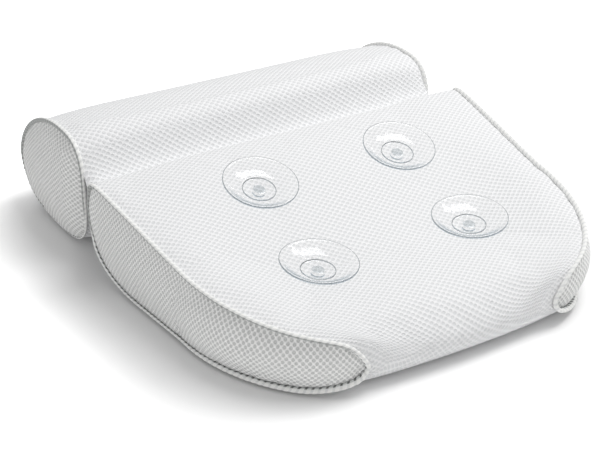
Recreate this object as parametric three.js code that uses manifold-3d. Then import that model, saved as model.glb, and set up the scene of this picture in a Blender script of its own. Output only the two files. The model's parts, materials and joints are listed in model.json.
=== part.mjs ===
// Bath pillow lying with its suction-cup side up. Millimetres, +Z up, +X along the neck roll,
// -Y towards the pad's free front edge. The origin is the middle of the object's base.
import * as THREE from 'three';
import { mergeVertices } from 'three/addons/utils/BufferGeometryUtils.js';
import Module from 'manifold-3d';

const wasm = await Module();
wasm.setup();

// Cover: white 3-D air mesh, sewn with raised overlocked seams
const coverThickness = 4;
const seamGap = 0.45;
const foamClearance = 1.2;
const upperWeltDepth = 6;
const upperWeltTilt = 0.6;
const weltDepth = 4;
const weltThickness = 4;
const weltGap = 0.3;
const seamLift = 4.5;

// Pad: wedge-shaped cushion with rounded front corners, a dished top and rounded shoulders
const padLength = 244.5;
const padBackHalfWidth = 168.5;
const padSideHalfWidth = 159;
const cornerLength = 120.5;
const cornerWidth = 79;
const seamBackHeight = 80;
const seamCornerHeight = 60.5;
const seamTipFall = 0.26;
const seamTipPower = 0.22;
const shoulderRise = 10;
const shoulderWidth = 14;
const crownHeight = 84;
const crownSetback = 10;
const shelfHeight = 46.5;
const shelfLength = 69;
const dishPower = 7;
const noseHeight = 20;
const noseLength = 40;
const noseUndercut = 19;
const bottomTuck = 7;
const bottomFlatShare = 0.55;
const heelLength = 61;
const heelHeight = 34;
const backCornerLength = 10;
const backCornerDrop = 6;
const gussetBulge = 5;
const gussetBulgePower = 0.6;
const gussetTipShare = 0.7;

// Crease between the pad and the roll
const creaseHeight = 70;
const padFlapLength = 15;
const rollFlapLength = 14;
const flapThickness = 3;
const flapEndMargin = 6;
const creaseBeadRadius = 2.5;
const creaseBeadGap = 0.3;
const flapGap = 0.3;

// Roll: loaf-shaped neck cushion
const rollLength = 322;
const rollDepth = 126.5;
const rollTopSetback = 40;
const rollBottomSetback = 61;
const rollFrontHeight = 57;
const rollBackHeight = 36.5;
const rollEndHeight = 97;
const rollTopCrown = 6;
const rollBackCrown = 3;
const rollSag = 1.5;
const rollEndBulge = 4;
const rollFrontTopPower = 3.4;
const rollTopBackPower = 1.85;
const rollBackBottomPower = 2.7;
const rollBottomFrontPower = 3.5;

// Suction cups, moulded in clear PVC with a stud that holds them in the mesh
const cupBackSpacing = 126;
const cupFrontSpacing = 134.5;
const cupBackRowSetback = 69.5;
const cupFrontRowSetback = 160;
const cupRimRadius = 29;
const cupRimThickness = 1.2;
const cupLipWidth = 1.6;
const cupFlare = 5;
const cupDepth = 8;
const cupFloorRadius = 13;
const cupFloorThickness = 2.2;
const cupFloorStep = 1.4;
const cupSeatRadius = 8;
const cupSeatGap = 1.3;
const cupNubRadius = 5;
const cupNubHeight = 0.8;
const studRadius = 5;
const studHoleClearance = 0.4;
const studHeadRadius = 8;
const studHeadHeight = 3;
const studHeadChamfer = 2;
const washerRadius = 10;
const washerThickness = 1.5;
const washerGap = 0.4;
const pocketClearance = 1.5;

// Facets
const backSteps = 3;
const sideSteps = 5;
const cornerSteps = 9;
const cornerCrowding = 1.4;
const wallRows = 3;
const topColumns = 5;
const shoulderColumns = 2;
const rollColumns = 8;
const quarterSteps = 9;
const endRings = 2;
const weltSides = 6;
const beadSides = 12;
const latheSegments = 24;
const holeSides = 16;
const skirtSteps = 4;
const weldDistance = 1e-3;

// Places along Y, worked out so that the box of the whole object is centred on the origin
const weltReach = upperWeltDepth + weltGap;
const totalDepth = weltReach + padLength + padFlapLength + rollFlapLength + rollDepth + rollBackCrown;
const frontY = weltReach - totalDepth / 2;
const padBackY = frontY + padLength;
const cornerY = frontY + cornerLength;
const shelfY = frontY + shelfLength;
const noseY = frontY + noseLength;
const noseUnderY = frontY + noseUndercut;
const crownY = padBackY - crownSetback;
const backCornerY = padBackY - backCornerLength;
const heelY = padBackY - heelLength;
const creaseY = padBackY + padFlapLength;
const rollFrontY = creaseY + rollFlapLength;
const tipHalfWidth = padSideHalfWidth - cornerWidth;

// Meshes

// A grid of points closed both ways, as a list of triangles: rows wrap round, and so do columns
function wrapGrid(rows) {
  const triangles = [];
  rows.forEach((row, i) => {
    const next = rows[(i + 1) % rows.length];
    row.forEach((point, j) => {
      const k = (j + 1) % row.length;
      triangles.push([point, row[k], next[k]], [point, next[k], next[j]]);
    });
  });
  return triangles;
}

// A tube through closed rings, open at both ends
function ringTube(rings) {
  const triangles = [];
  for (let i = 0; i + 1 < rings.length; i++) {
    rings[i].forEach((point, j) => {
      const k = (j + 1) % rings[i].length;
      triangles.push([point, rings[i][k], rings[i + 1][k]], [point, rings[i + 1][k], rings[i + 1][j]]);
    });
  }
  return triangles;
}

// A sheet between matching rows of points, to close the end of a tube
function sheet(rows) {
  const triangles = [];
  for (let i = 0; i + 1 < rows.length; i++) {
    for (let j = 0; j + 1 < rows[i].length; j++) {
      const [a, b, c, d] = [rows[i][j], rows[i][j + 1], rows[i + 1][j + 1], rows[i + 1][j]];
      triangles.push([a, b, c], [a, c, d]);
    }
  }
  return triangles;
}

// A closed body from triangles: shared corners are merged, slivers left out and faces turned outwards
function closedBody(triangles) {
  const isSame = (a, b) => a.distanceTo(b) < weldDistance;
  const whole = triangles.filter(([a, b, c]) => !isSame(a, b) && !isSame(b, c) && !isSame(c, a));
  const volume = whole.reduce((sum, [a, b, c]) => sum + a.dot(b.clone().cross(c)), 0);
  const outward = volume > 0 ? whole : whole.map(([a, b, c]) => [a, c, b]);
  const corners = outward.flat().flatMap((point) => point.toArray());
  const geometry = new THREE.BufferGeometry();
  geometry.setAttribute('position', new THREE.Float32BufferAttribute(corners, 3));
  return mergeVertices(geometry, weldDistance);
}

function toManifold(geometry) {
  const bare = geometry.clone();
  bare.deleteAttribute('normal');
  bare.deleteAttribute('uv');
  const merged = mergeVertices(bare, weldDistance);
  return new wasm.Manifold(new wasm.Mesh({
    numProp: 3,
    vertProperties: new Float32Array(merged.getAttribute('position').array),
    triVerts: new Uint32Array(merged.index.array),
  }));
}

function fromManifold(solid) {
  const mesh = solid.getMesh();
  const geometry = new THREE.BufferGeometry();
  geometry.setAttribute('position', new THREE.BufferAttribute(mesh.vertProperties, 3));
  geometry.setIndex(new THREE.BufferAttribute(mesh.triVerts, 1));
  return geometry;
}

function cut(geometry, cutters) {
  const solid = cutters.reduce((left, cutter) => left.subtract(toManifold(cutter)), toManifold(geometry));
  return fromManifold(solid);
}

// Pad

// Stations along the pad from its back wall to its nose: a zone and how far through it
const quarterTurn = Math.PI / 2;
const padStations = [];
for (let i = 0; i < backSteps; i++) {
  padStations.push({ zone: 'back', turn: quarterTurn * (1 - i / backSteps) });
}
for (let i = 0; i < sideSteps; i++) {
  padStations.push({ zone: 'side', share: i / sideSteps });
}
for (let i = 0; i <= cornerSteps; i++) {
  const share = 1 - (1 - i / cornerSteps) ** cornerCrowding;
  padStations.push({ zone: 'corner', turn: quarterTurn * share });
}
padStations.forEach((station, i) => { station.along = i / (padStations.length - 1); });

function seamHeightAt(y) {
  return seamCornerHeight + (seamBackHeight - seamCornerHeight) * ((y - cornerY) / (padBackY - cornerY));
}

function sideHalfWidthAt(y) {
  return padSideHalfWidth + (padBackHalfWidth - padSideHalfWidth) * ((y - cornerY) / (padBackY - cornerY));
}

// The middle of the top climbs from a low shelf behind the nose to a crown near the back wall
function middleHeightAt(y) {
  return shelfHeight + (crownHeight - shelfHeight) * THREE.MathUtils.smoothstep(y, shelfY, crownY);
}

// Where a station crosses the pad, drawn in by an inset: its place along Y, its half width, the heights of
// its seam and its middle, how far the shoulder stands above the seam and how far the underside is tucked in
function padSection(station, inset) {
  if (station.zone === 'corner') {
    const forward = Math.sin(station.turn);
    const across = Math.sqrt(1 - forward ** 2);
    const y = cornerY - (cornerLength - inset) * forward;
    const noseTurn = THREE.MathUtils.clamp((noseY - y) / (noseLength - inset), 0, 1);
    const seamShare = (1 - seamTipFall * forward) * across ** seamTipPower;
    return {
      y,
      halfWidth: tipHalfWidth + (cornerWidth - inset) * across,
      seamTop: noseHeight + (seamCornerHeight - noseHeight) * seamShare,
      shoulder: (shoulderRise - inset) * across,
      middle: noseHeight + (middleHeightAt(y) - noseHeight - inset) * Math.sqrt(1 - noseTurn ** 2),
      tuck: bottomTuck * Math.sin(2 * station.turn),
    };
  }
  if (station.zone === 'side') {
    const y = backCornerY + (cornerY - backCornerY) * station.share;
    return {
      y,
      halfWidth: sideHalfWidthAt(y) - inset,
      seamTop: seamHeightAt(y),
      shoulder: shoulderRise - inset,
      middle: middleHeightAt(y) - inset,
      tuck: 0,
    };
  }
  const y = backCornerY + (backCornerLength - inset) * Math.sin(station.turn);
  const upright = Math.cos(station.turn);
  const drop = backCornerDrop * (1 - upright);
  return {
    y,
    halfWidth: sideHalfWidthAt(y) - inset,
    seamTop: seamHeightAt(backCornerY) - drop,
    shoulder: (shoulderRise - inset) * upright,
    middle: middleHeightAt(backCornerY) - drop - inset * upright,
    tuck: 0,
  };
}

// How far across the pad its shoulder is highest
function crestShare(section, inset) {
  return 1 - (shoulderWidth - inset) / section.halfWidth;
}

// The top is flat in the middle, rises to the shoulders and rounds over them down to the seams
function padTop(section, inset, across) {
  const crest = crestShare(section, inset);
  const out = Math.abs(across);
  if (out > crest) {
    const fall = Math.min(1, (out - crest) / (1 - crest));
    return section.seamTop + section.shoulder * Math.sqrt(1 - fall ** 2);
  }
  const share = out / crest;
  const rise = share ** dishPower * (dishPower + 1 - dishPower * share);
  return section.middle + (section.seamTop + section.shoulder - section.middle) * rise;
}

// The underside is flat, rounds up to the nose and the heel, and lifts off the floor at the seams
function padBottom(section, inset, across) {
  const lift = seamLift * Math.max(0, (Math.abs(across) - bottomFlatShare) / (1 - bottomFlatShare)) ** 2;
  const flat = inset + lift;
  if (section.y < noseUnderY) {
    const turn = Math.min(1, (noseUnderY - section.y) / (noseUndercut - inset));
    return noseHeight - (noseHeight - flat) * Math.sqrt(1 - turn ** 2);
  }
  if (section.y > heelY) {
    const turn = Math.min(1, (section.y - heelY) / (heelLength - inset));
    return heelHeight - (heelHeight - flat) * Math.sqrt(1 - turn ** 2);
  }
  return flat;
}

// Columns are counted from the middle: even steps over the top, then steps round the shoulder to the seam
const seamColumn = topColumns + shoulderColumns;
const columns = Array.from({ length: 2 * seamColumn + 1 }, (_, i) => i - seamColumn);

function acrossAt(section, inset, column) {
  const crest = crestShare(section, inset);
  const steps = Math.abs(column);
  if (steps <= topColumns) return (crest * column) / topColumns;
  const turn = quarterTurn * ((steps - topColumns) / shoulderColumns);
  return Math.sign(column) * (crest + (1 - crest) * Math.sin(turn));
}

function padTopPoint(station, inset, column) {
  const section = padSection(station, inset);
  const across = acrossAt(section, inset, column);
  return new THREE.Vector3(across * section.halfWidth, section.y, padTop(section, inset, across));
}

function padBottomPoint(station, inset, column) {
  const section = padSection(station, inset);
  const across = acrossAt(section, inset, column);
  const height = padBottom(section, inset, across);
  return new THREE.Vector3(across * section.halfWidth, section.y + section.tuck, height);
}

// One loop round the pad in a column: top to the nose, underside to the heel, up the back wall
function padLoop(inset, column) {
  const top = padStations.map((station) => padTopPoint(station, inset, column));
  const bottom = padStations.slice(0, -1).reverse().map((station) => padBottomPoint(station, inset, column));
  const wall = [];
  for (let i = 1; i < wallRows; i++) wall.push(bottom.at(-1).clone().lerp(top[0], i / wallRows));
  return [...top, ...bottom, ...wall];
}

function makePadWrap() {
  const outer = columns.map((column) => padLoop(0, column));
  const inner = columns.map((column) => padLoop(coverThickness, column));
  const body = closedBody(wrapGrid([...outer, ...inner.reverse()]));
  return cut(body, cups.map((cup) => studHole(cup, studRadius + studHoleClearance, coverThickness)));
}

// The side of the pad swells outwards between its two seams
function padSidePoint(station, inset, side, rise) {
  const lengthwise = Math.sin(Math.PI * station.along) ** gussetBulgePower;
  const swell = gussetBulge * Math.sin(Math.PI * rise) * lengthwise;
  const low = padBottomPoint(station, inset, side * seamColumn);
  const high = padTopPoint(station, inset, side * seamColumn);
  const plan = padSection(station, inset - swell);
  const y = plan.y + plan.tuck * (1 - rise);
  return new THREE.Vector3(side * plan.halfWidth, y, THREE.MathUtils.lerp(low.z, high.z, rise));
}

// A gusset is cut to clear the wrap by the seam gap at its upper, lower and back edges, and short of the tip
function makeGusset(side) {
  const rises = Array.from({ length: wallRows + 1 }, (_, i) => i / wallRows);
  const strip = (station, inset) => rises.map((rise) => padSidePoint(station, inset, side, rise));
  const trimmed = (points) => points.map((point, i) => point.setZ(point.z + seamGap * (1 - 2 * rises[i])));
  const face = (inset) => {
    const strips = padStations.map((station) => strip(station, inset));
    const nose = strips.pop();
    const tip = strips.at(-1).map((point, i) => point.clone().lerp(nose[i], gussetTipShare));
    strips.slice(0, backSteps).flat().forEach((point) => point.setY(point.y - seamGap));
    return [...strips, tip].map(trimmed);
  };
  const outer = face(0);
  const inner = face(coverThickness);
  const rings = outer.map((points, i) => [...points, ...inner[i].toReversed()]);
  const backEdge = sheet([inner[0], outer[0]]);
  const tipEdge = sheet([outer.at(-1), inner.at(-1)]);
  return closedBody([...ringTube(rings), ...backEdge, ...tipEdge]);
}

function makePadFoam() {
  const inset = coverThickness + foamClearance;
  const rises = Array.from({ length: wallRows - 1 }, (_, i) => (i + 1) / wallRows);
  const rings = padStations.map((station) => [
    ...columns.map((column) => padBottomPoint(station, inset, column)),
    ...rises.map((rise) => padSidePoint(station, inset, 1, rise)),
    ...columns.toReversed().map((column) => padTopPoint(station, inset, column)),
    ...rises.toReversed().map((rise) => padSidePoint(station, inset, -1, rise)),
  ]);
  const back = padStations[0];
  const wall = [1, ...rises.toReversed(), 0].map((rise) => columns.map((column) => {
    const low = padBottomPoint(back, inset, column);
    return low.lerp(padTopPoint(back, inset, column), rise);
  }));
  const body = closedBody([...ringTube(rings), ...sheet(wall)]);
  const pocketRadius = washerRadius + pocketClearance;
  return cut(body, cups.map((cup) => studHole(cup, pocketRadius, studReach + pocketClearance)));
}

// Welts: the overlocked edges of two panels, which stand off the corner where they are sewn together

function weltTube(path, outward, depths) {
  const centres = path.map((point, i) => point.clone().addScaledVector(outward[i], depths[i] / 2 + weltGap));
  const rings = centres.map((centre, i) => {
    const before = centres[(i + centres.length - 1) % centres.length];
    const after = centres[(i + 1) % centres.length];
    const along = after.clone().sub(before).normalize();
    const side = along.clone().cross(outward[i]).normalize();
    const up = side.clone().cross(along);
    return Array.from({ length: weltSides }, (_, j) => {
      const turn = (2 * Math.PI * j) / weltSides;
      const reach = up.clone().multiplyScalar((depths[i] / 2) * Math.cos(turn));
      return reach.addScaledVector(side, (weltThickness / 2) * Math.sin(turn)).add(centre);
    });
  });
  return closedBody(wrapGrid(rings));
}

// The gusset faces sideways, and squarely forwards at its tip
function gussetNormal(station, side) {
  if (station.zone !== 'corner') return new THREE.Vector3(side, 0, 0);
  const x = side * Math.cos(station.turn) * cornerLength;
  return new THREE.Vector3(x, -Math.sin(station.turn) * cornerWidth, 0).normalize();
}

// The upper seam's edge is deeper than the lower one's and leans up
function makePadWelt(side) {
  const isUpper = (i) => i < padStations.length;
  const path = padLoop(0, side * seamColumn);
  const inner = padLoop(0, side * (seamColumn - 1));
  const loopStations = [...padStations, ...padStations.slice(0, -1).reverse()];
  const outward = path.map((point, i) => {
    const before = path[(i + path.length - 1) % path.length];
    const after = path[(i + 1) % path.length];
    const along = after.clone().sub(before);
    const panel = along.cross(inner[i].clone().sub(point)).multiplyScalar(-side).normalize();
    const lean = new THREE.Vector3(0, 0, isUpper(i) ? upperWeltTilt : 0);
    return gussetNormal(loopStations[i] ?? padStations[0], side).add(panel).add(lean).normalize();
  });
  return weltTube(path, outward, path.map((_, i) => (isUpper(i) ? upperWeltDepth : weltDepth)));
}

// Crease

function alongRoll(outline, length) {
  const shape = new THREE.Shape(outline.map(([y, z]) => new THREE.Vector2(y, z)));
  const geometry = new THREE.ExtrudeGeometry(shape, { depth: length, bevelEnabled: false });
  geometry.applyMatrix4(new THREE.Matrix4().makeBasis(
    new THREE.Vector3(0, 1, 0), new THREE.Vector3(0, 0, 1), new THREE.Vector3(1, 0, 0)));
  return geometry.translate(-length / 2, 0, 0);
}

const flapLength = rollLength - 2 * flapEndMargin;

function makeFlap(fromY, toY) {
  const low = creaseHeight - flapThickness / 2;
  const high = creaseHeight + flapThickness / 2;
  return alongRoll([[fromY, low], [toY, low], [toY, high], [fromY, high]], flapLength);
}

function makeCreaseBead() {
  const geometry = new THREE.CylinderGeometry(creaseBeadRadius, creaseBeadRadius, flapLength, beadSides);
  return geometry.rotateZ(Math.PI / 2).translate(0, creaseY, creaseHeight);
}

// Roll

// A quarter of a superellipse from its sideways end to its upright end, both measured from the middle
function quarter(sideways, upright, power) {
  return Array.from({ length: quarterSteps }, (_, i) => {
    const turn = quarterTurn * (i / quarterSteps);
    return [sideways * Math.cos(turn) ** (2 / power), upright * Math.sin(turn) ** (2 / power)];
  });
}

// The roll's section: a blunt front, a top that falls away to the back, and an underside pressed flat
function rollLoop(x, inset) {
  const along = (2 * x) / rollLength;
  const swell = 1 - along ** 2;
  const top = rollEndHeight + rollTopCrown * swell - inset;
  const front = rollFrontY + inset;
  const back = rollFrontY + rollDepth + rollBackCrown * swell - inset;
  const bottom = seamLift - (seamLift + rollSag) * swell + inset;
  const topY = rollFrontY + rollTopSetback;
  const bottomY = rollFrontY + rollBottomSetback;
  const frontTop = quarter(front - topY, top - rollFrontHeight, rollFrontTopPower);
  const topBack = quarter(top - rollBackHeight, back - topY, rollTopBackPower);
  const backBottom = quarter(back - bottomY, bottom - rollBackHeight, rollBackBottomPower);
  const bottomFront = quarter(bottom - rollFrontHeight, front - bottomY, rollBottomFrontPower);
  const outline = [
    ...frontTop.map(([y, z]) => [topY + y, rollFrontHeight + z]),
    ...topBack.map(([z, y]) => [topY + y, rollBackHeight + z]),
    ...backBottom.map(([y, z]) => [bottomY + y, rollBackHeight + z]),
    ...bottomFront.map(([z, y]) => [bottomY + y, rollFrontHeight + z]),
  ];
  return outline.map(([y, z]) => new THREE.Vector3(x, y, Math.max(z, inset)));
}

function rollPlaces(length) {
  return Array.from({ length: rollColumns + 1 }, (_, j) => length * (j / rollColumns - 0.5));
}

function makeRollWrap() {
  const outer = rollPlaces(rollLength).map((x) => rollLoop(x, 0));
  const inner = rollPlaces(rollLength - 2 * coverThickness).map((x) => rollLoop(x, coverThickness));
  return closedBody(wrapGrid([...outer, ...inner.reverse()]));
}

// A panel that closes a loop and swells towards its middle, as rings from the edge to the centre
function endRingsOf(loop, side) {
  const centre = new THREE.Vector3();
  loop.forEach((point) => centre.addScaledVector(point, 1 / loop.length));
  return Array.from({ length: endRings + 1 }, (_, i) => {
    const share = i / endRings;
    const swell = side * rollEndBulge * (1 - (1 - share) ** 2);
    return loop.map((point) => point.clone().lerp(centre, share).add(new THREE.Vector3(swell, 0, 0)));
  });
}

function drawnIn(loop, gap) {
  const centre = new THREE.Vector3();
  loop.forEach((point) => centre.addScaledVector(point, 1 / loop.length));
  return loop.map((point) => {
    const inward = centre.clone().sub(point).setX(0).normalize();
    return point.clone().addScaledVector(inward, gap);
  });
}

function makeRollEnd(side) {
  const outerLoop = drawnIn(rollLoop((side * rollLength) / 2, 0), seamGap);
  const innerLoop = drawnIn(rollLoop(side * (rollLength / 2 - coverThickness), coverThickness), seamGap);
  return closedBody(ringTube([...endRingsOf(outerLoop, side).reverse(), ...endRingsOf(innerLoop, side)]));
}

function makeRollFoam() {
  const inset = coverThickness + foamClearance;
  const loops = rollPlaces(rollLength - 2 * inset).map((x) => rollLoop(x, inset));
  const left = endRingsOf(loops[0], -1).reverse();
  const right = endRingsOf(loops.at(-1), 1);
  return closedBody(ringTube([...left, ...loops.slice(1, -1), ...right]));
}

function makeRollWelt(side) {
  const path = rollLoop((side * rollLength) / 2, 0);
  const outward = path.map((point, i) => {
    const before = path[(i + path.length - 1) % path.length];
    const after = path[(i + 1) % path.length];
    const along = after.clone().sub(before).normalize();
    const panel = along.cross(new THREE.Vector3(-1, 0, 0));
    return panel.add(new THREE.Vector3(side, 0, 0)).normalize();
  });
  return weltTube(path, outward, path.map(() => weltDepth));
}

// Suction cups: each stands square to the mesh where it is fixed

const washerTop = -(coverThickness + washerGap);
const washerBottom = washerTop - washerThickness;
const studHeadTop = washerBottom - washerGap;
const studReach = studHeadHeight - studHeadTop;

function surfaceAt(x, y) {
  const share = (y - backCornerY) / (cornerY - backCornerY);
  const station = share <= 1
    ? { zone: 'side', share }
    : { zone: 'corner', turn: Math.asin((cornerY - y) / cornerLength) };
  const section = padSection(station, 0);
  return new THREE.Vector3(x, y, padTop(section, 0, x / section.halfWidth));
}

function cupPlace(name, x, y) {
  const step = 1;
  const alongX = surfaceAt(x + step, y).sub(surfaceAt(x - step, y));
  const alongY = surfaceAt(x, y + step).sub(surfaceAt(x, y - step));
  const axis = alongX.cross(alongY).normalize();
  const turn = new THREE.Quaternion().setFromUnitVectors(new THREE.Vector3(0, 0, 1), axis);
  return { name, axis, turn, seat: surfaceAt(x, y) };
}

const cups = [
  cupPlace('back_left', -cupBackSpacing / 2, padBackY - cupBackRowSetback),
  cupPlace('back_right', cupBackSpacing / 2, padBackY - cupBackRowSetback),
  cupPlace('front_left', -cupFrontSpacing / 2, padBackY - cupFrontRowSetback),
  cupPlace('front_right', cupFrontSpacing / 2, padBackY - cupFrontRowSetback),
];

function lathe(outline) {
  const profile = outline.map(([r, z]) => new THREE.Vector2(r, z));
  return new THREE.LatheGeometry(profile, latheSegments).rotateX(Math.PI / 2);
}

// A round cutter through the top of the pad, from above the mesh down to a depth along the stud
function studHole(cup, radius, depth) {
  const above = cupRimRadius;
  const geometry = new THREE.CylinderGeometry(radius, radius, above + depth, holeSides);
  geometry.rotateX(Math.PI / 2).translate(0, 0, (above - depth) / 2);
  return geometry.applyQuaternion(cup.turn).translate(cup.seat.x, cup.seat.y, cup.seat.z);
}

// A cup's outline from the tip of its stud, out along the skirt, over the rim and back down the bowl
function makeCup() {
  const floor = cupSeatGap + cupFloorThickness;
  const ledge = floor + cupFloorStep;
  const rim = floor + cupDepth;
  const lip = cupRimRadius - cupLipWidth;
  const skirt = new THREE.CubicBezierCurve(
    new THREE.Vector2(cupSeatRadius, cupSeatGap),
    new THREE.Vector2(cupFloorRadius + cupFlare, floor - cupFloorStep),
    new THREE.Vector2(cupRimRadius - cupFlare, rim - cupFlare),
    new THREE.Vector2(cupRimRadius, rim - cupRimThickness));
  const bowl = new THREE.CubicBezierCurve(
    new THREE.Vector2(lip, rim),
    new THREE.Vector2(lip - cupFlare, rim - cupFlare + cupRimThickness),
    new THREE.Vector2(cupFloorRadius + cupFlare, ledge),
    new THREE.Vector2(cupFloorRadius, ledge));
  return lathe([
    [0, -studReach],
    [studHeadRadius - studHeadChamfer, -studReach],
    [studHeadRadius, studHeadTop],
    [studRadius, studHeadTop],
    [studRadius, cupSeatGap],
    ...skirt.getPoints(skirtSteps).map((point) => point.toArray()),
    [cupRimRadius, rim],
    ...bowl.getPoints(skirtSteps).map((point) => point.toArray()),
    [cupFloorRadius, floor],
    [cupNubRadius, floor],
    [cupNubRadius - cupNubHeight, floor + cupNubHeight],
    [0, floor + cupNubHeight],
  ]);
}

function makeWasher() {
  const hole = studRadius + studHoleClearance;
  return lathe([
    [hole, washerBottom],
    [washerRadius, washerBottom],
    [washerRadius, washerTop],
    [hole, washerTop],
    [hole, washerBottom],
  ]);
}

// Assembly

const pillow = new THREE.Group();

function addPiece(name, geometry, look, group = pillow) {
  const mesh = new THREE.Mesh(geometry, new THREE.MeshStandardMaterial(look));
  mesh.name = name;
  group.add(mesh);
}

const airMesh = { color: '#f3f3f1', roughness: 0.85, metalness: 0 };
const overlock = { color: '#dcdddd', roughness: 0.9, metalness: 0 };
const foam = { color: '#efe9d8', roughness: 0.95, metalness: 0 };
const clearPvc = { color: '#e4ecf0', roughness: 0.08, metalness: 0 };
const washerPlastic = { color: '#f0f0ee', roughness: 0.4, metalness: 0 };
const sides = [['left', -1], ['right', 1]];

addPiece('pad_wrap', makePadWrap(), airMesh);
addPiece('pad_foam', makePadFoam(), foam);
sides.forEach(([name, side]) => {
  addPiece(`pad_${name}_gusset`, makeGusset(side), airMesh);
  addPiece(`pad_${name}_seam`, makePadWelt(side), overlock);
});

const beadReach = creaseBeadRadius + creaseBeadGap;
addPiece('crease_pad_flap', makeFlap(padBackY + flapGap, creaseY - beadReach), airMesh);
addPiece('crease_bead', makeCreaseBead(), overlock);
addPiece('crease_roll_flap', makeFlap(creaseY + beadReach, rollFrontY - flapGap), airMesh);

addPiece('roll_wrap', makeRollWrap(), airMesh);
addPiece('roll_foam', makeRollFoam(), foam);
sides.forEach(([name, side]) => {
  addPiece(`roll_${name}_end`, makeRollEnd(side), airMesh);
  addPiece(`roll_${name}_seam`, makeRollWelt(side), overlock);
});

cups.forEach((cup) => {
  const fixing = new THREE.Group();
  fixing.position.copy(cup.seat);
  fixing.quaternion.copy(cup.turn);
  addPiece(`cup_${cup.name}`, makeCup(), clearPvc, fixing);
  addPiece(`washer_${cup.name}`, makeWasher(), washerPlastic, fixing);
  pillow.add(fixing);
});

export default pillow;
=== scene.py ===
# Bath pillow lying with its suction-cup side up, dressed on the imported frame. Metres, +Z up,
# +X along the neck roll, -Y towards the pad's free front edge.
import json
import math

import bmesh
import bpy
import numpy as np
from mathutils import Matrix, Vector


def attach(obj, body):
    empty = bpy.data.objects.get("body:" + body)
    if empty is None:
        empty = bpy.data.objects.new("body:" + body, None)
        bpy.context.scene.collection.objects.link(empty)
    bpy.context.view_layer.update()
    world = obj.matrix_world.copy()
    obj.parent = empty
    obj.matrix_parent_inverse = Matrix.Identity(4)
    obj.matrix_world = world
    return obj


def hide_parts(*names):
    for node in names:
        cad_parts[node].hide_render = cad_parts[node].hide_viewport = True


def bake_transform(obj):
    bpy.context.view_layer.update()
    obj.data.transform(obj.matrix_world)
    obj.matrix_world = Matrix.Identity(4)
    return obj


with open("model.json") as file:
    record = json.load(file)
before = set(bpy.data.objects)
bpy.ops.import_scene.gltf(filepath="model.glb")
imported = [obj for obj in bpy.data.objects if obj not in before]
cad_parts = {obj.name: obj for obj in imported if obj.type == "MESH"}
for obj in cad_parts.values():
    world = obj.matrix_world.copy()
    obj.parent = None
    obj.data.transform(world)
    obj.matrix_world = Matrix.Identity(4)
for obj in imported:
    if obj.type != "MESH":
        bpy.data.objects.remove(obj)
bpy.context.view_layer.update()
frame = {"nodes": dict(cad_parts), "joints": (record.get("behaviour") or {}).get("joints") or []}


# Pad cover. One panel of white 3-D air mesh goes over the top, round the nose, along the underside and up
# the back wall. A lens-shaped gusset of the same mesh closes each side and runs round the front corner to a
# tip. The panels are sewn edge to edge round a foam wedge and swell between their seams.
front_y = -0.19835
pad_back_y = 0.04615
corner_length = 0.1205
corner_width = 0.079
back_half_width = 0.1685
side_half_width = 0.159
seam_back_height = 0.0815
seam_corner_height = 0.0605
seam_tip_power = 0.22
seam_tip_fall = 0.26
shoulder_rise = 0.002
shoulder_width = 0.014
crown_height = 0.084
crown_setback = 0.010
shelf_height = 0.0465
shelf_length = 0.069
dish_power = 7
nose_height = 0.020
nose_length = 0.040
nose_undercut = 0.019
nose_roundness = 0.36
tip_roundness = 0.28
front_bow = 0.006
front_bow_length = 0.080
bottom_tuck = 0.007
bottom_flat_share = 0.55
seam_lift = 0.0045
heel_length = 0.061
heel_height = 0.034
back_corner_length = 0.010
back_corner_drop = 0.004
right_corner_lift = 0.0045
right_lift_start = 0.090
right_lift_end = 0.140
wall_bulge = 0.005
wall_rows = 14
weave_lean = 0.16
gusset_bulge = 0.005
corner_bulge = 0.012
gusset_bulge_power = 0.6
corner_y = front_y + corner_length
back_corner_y = pad_back_y - back_corner_length
tip_half_width = side_half_width - corner_width


def smooth_step(value, low, high):
    """0 below low, 1 above high, and 3t^2 - 2t^3 between them."""
    t = np.clip((value - low) / (high - low), 0, 1)
    return t * t * (3 - 2 * t)


def eased(values, passes):
    """A row of values, its kinks rounded: each pass takes a quarter of both neighbours. The ends stay."""
    for _ in range(passes):
        inner = (values[:-2] + 2 * values[1:-1] + values[2:]) / 4
        values = np.concatenate([values[:1], inner, values[-1:]])
    return values


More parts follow.
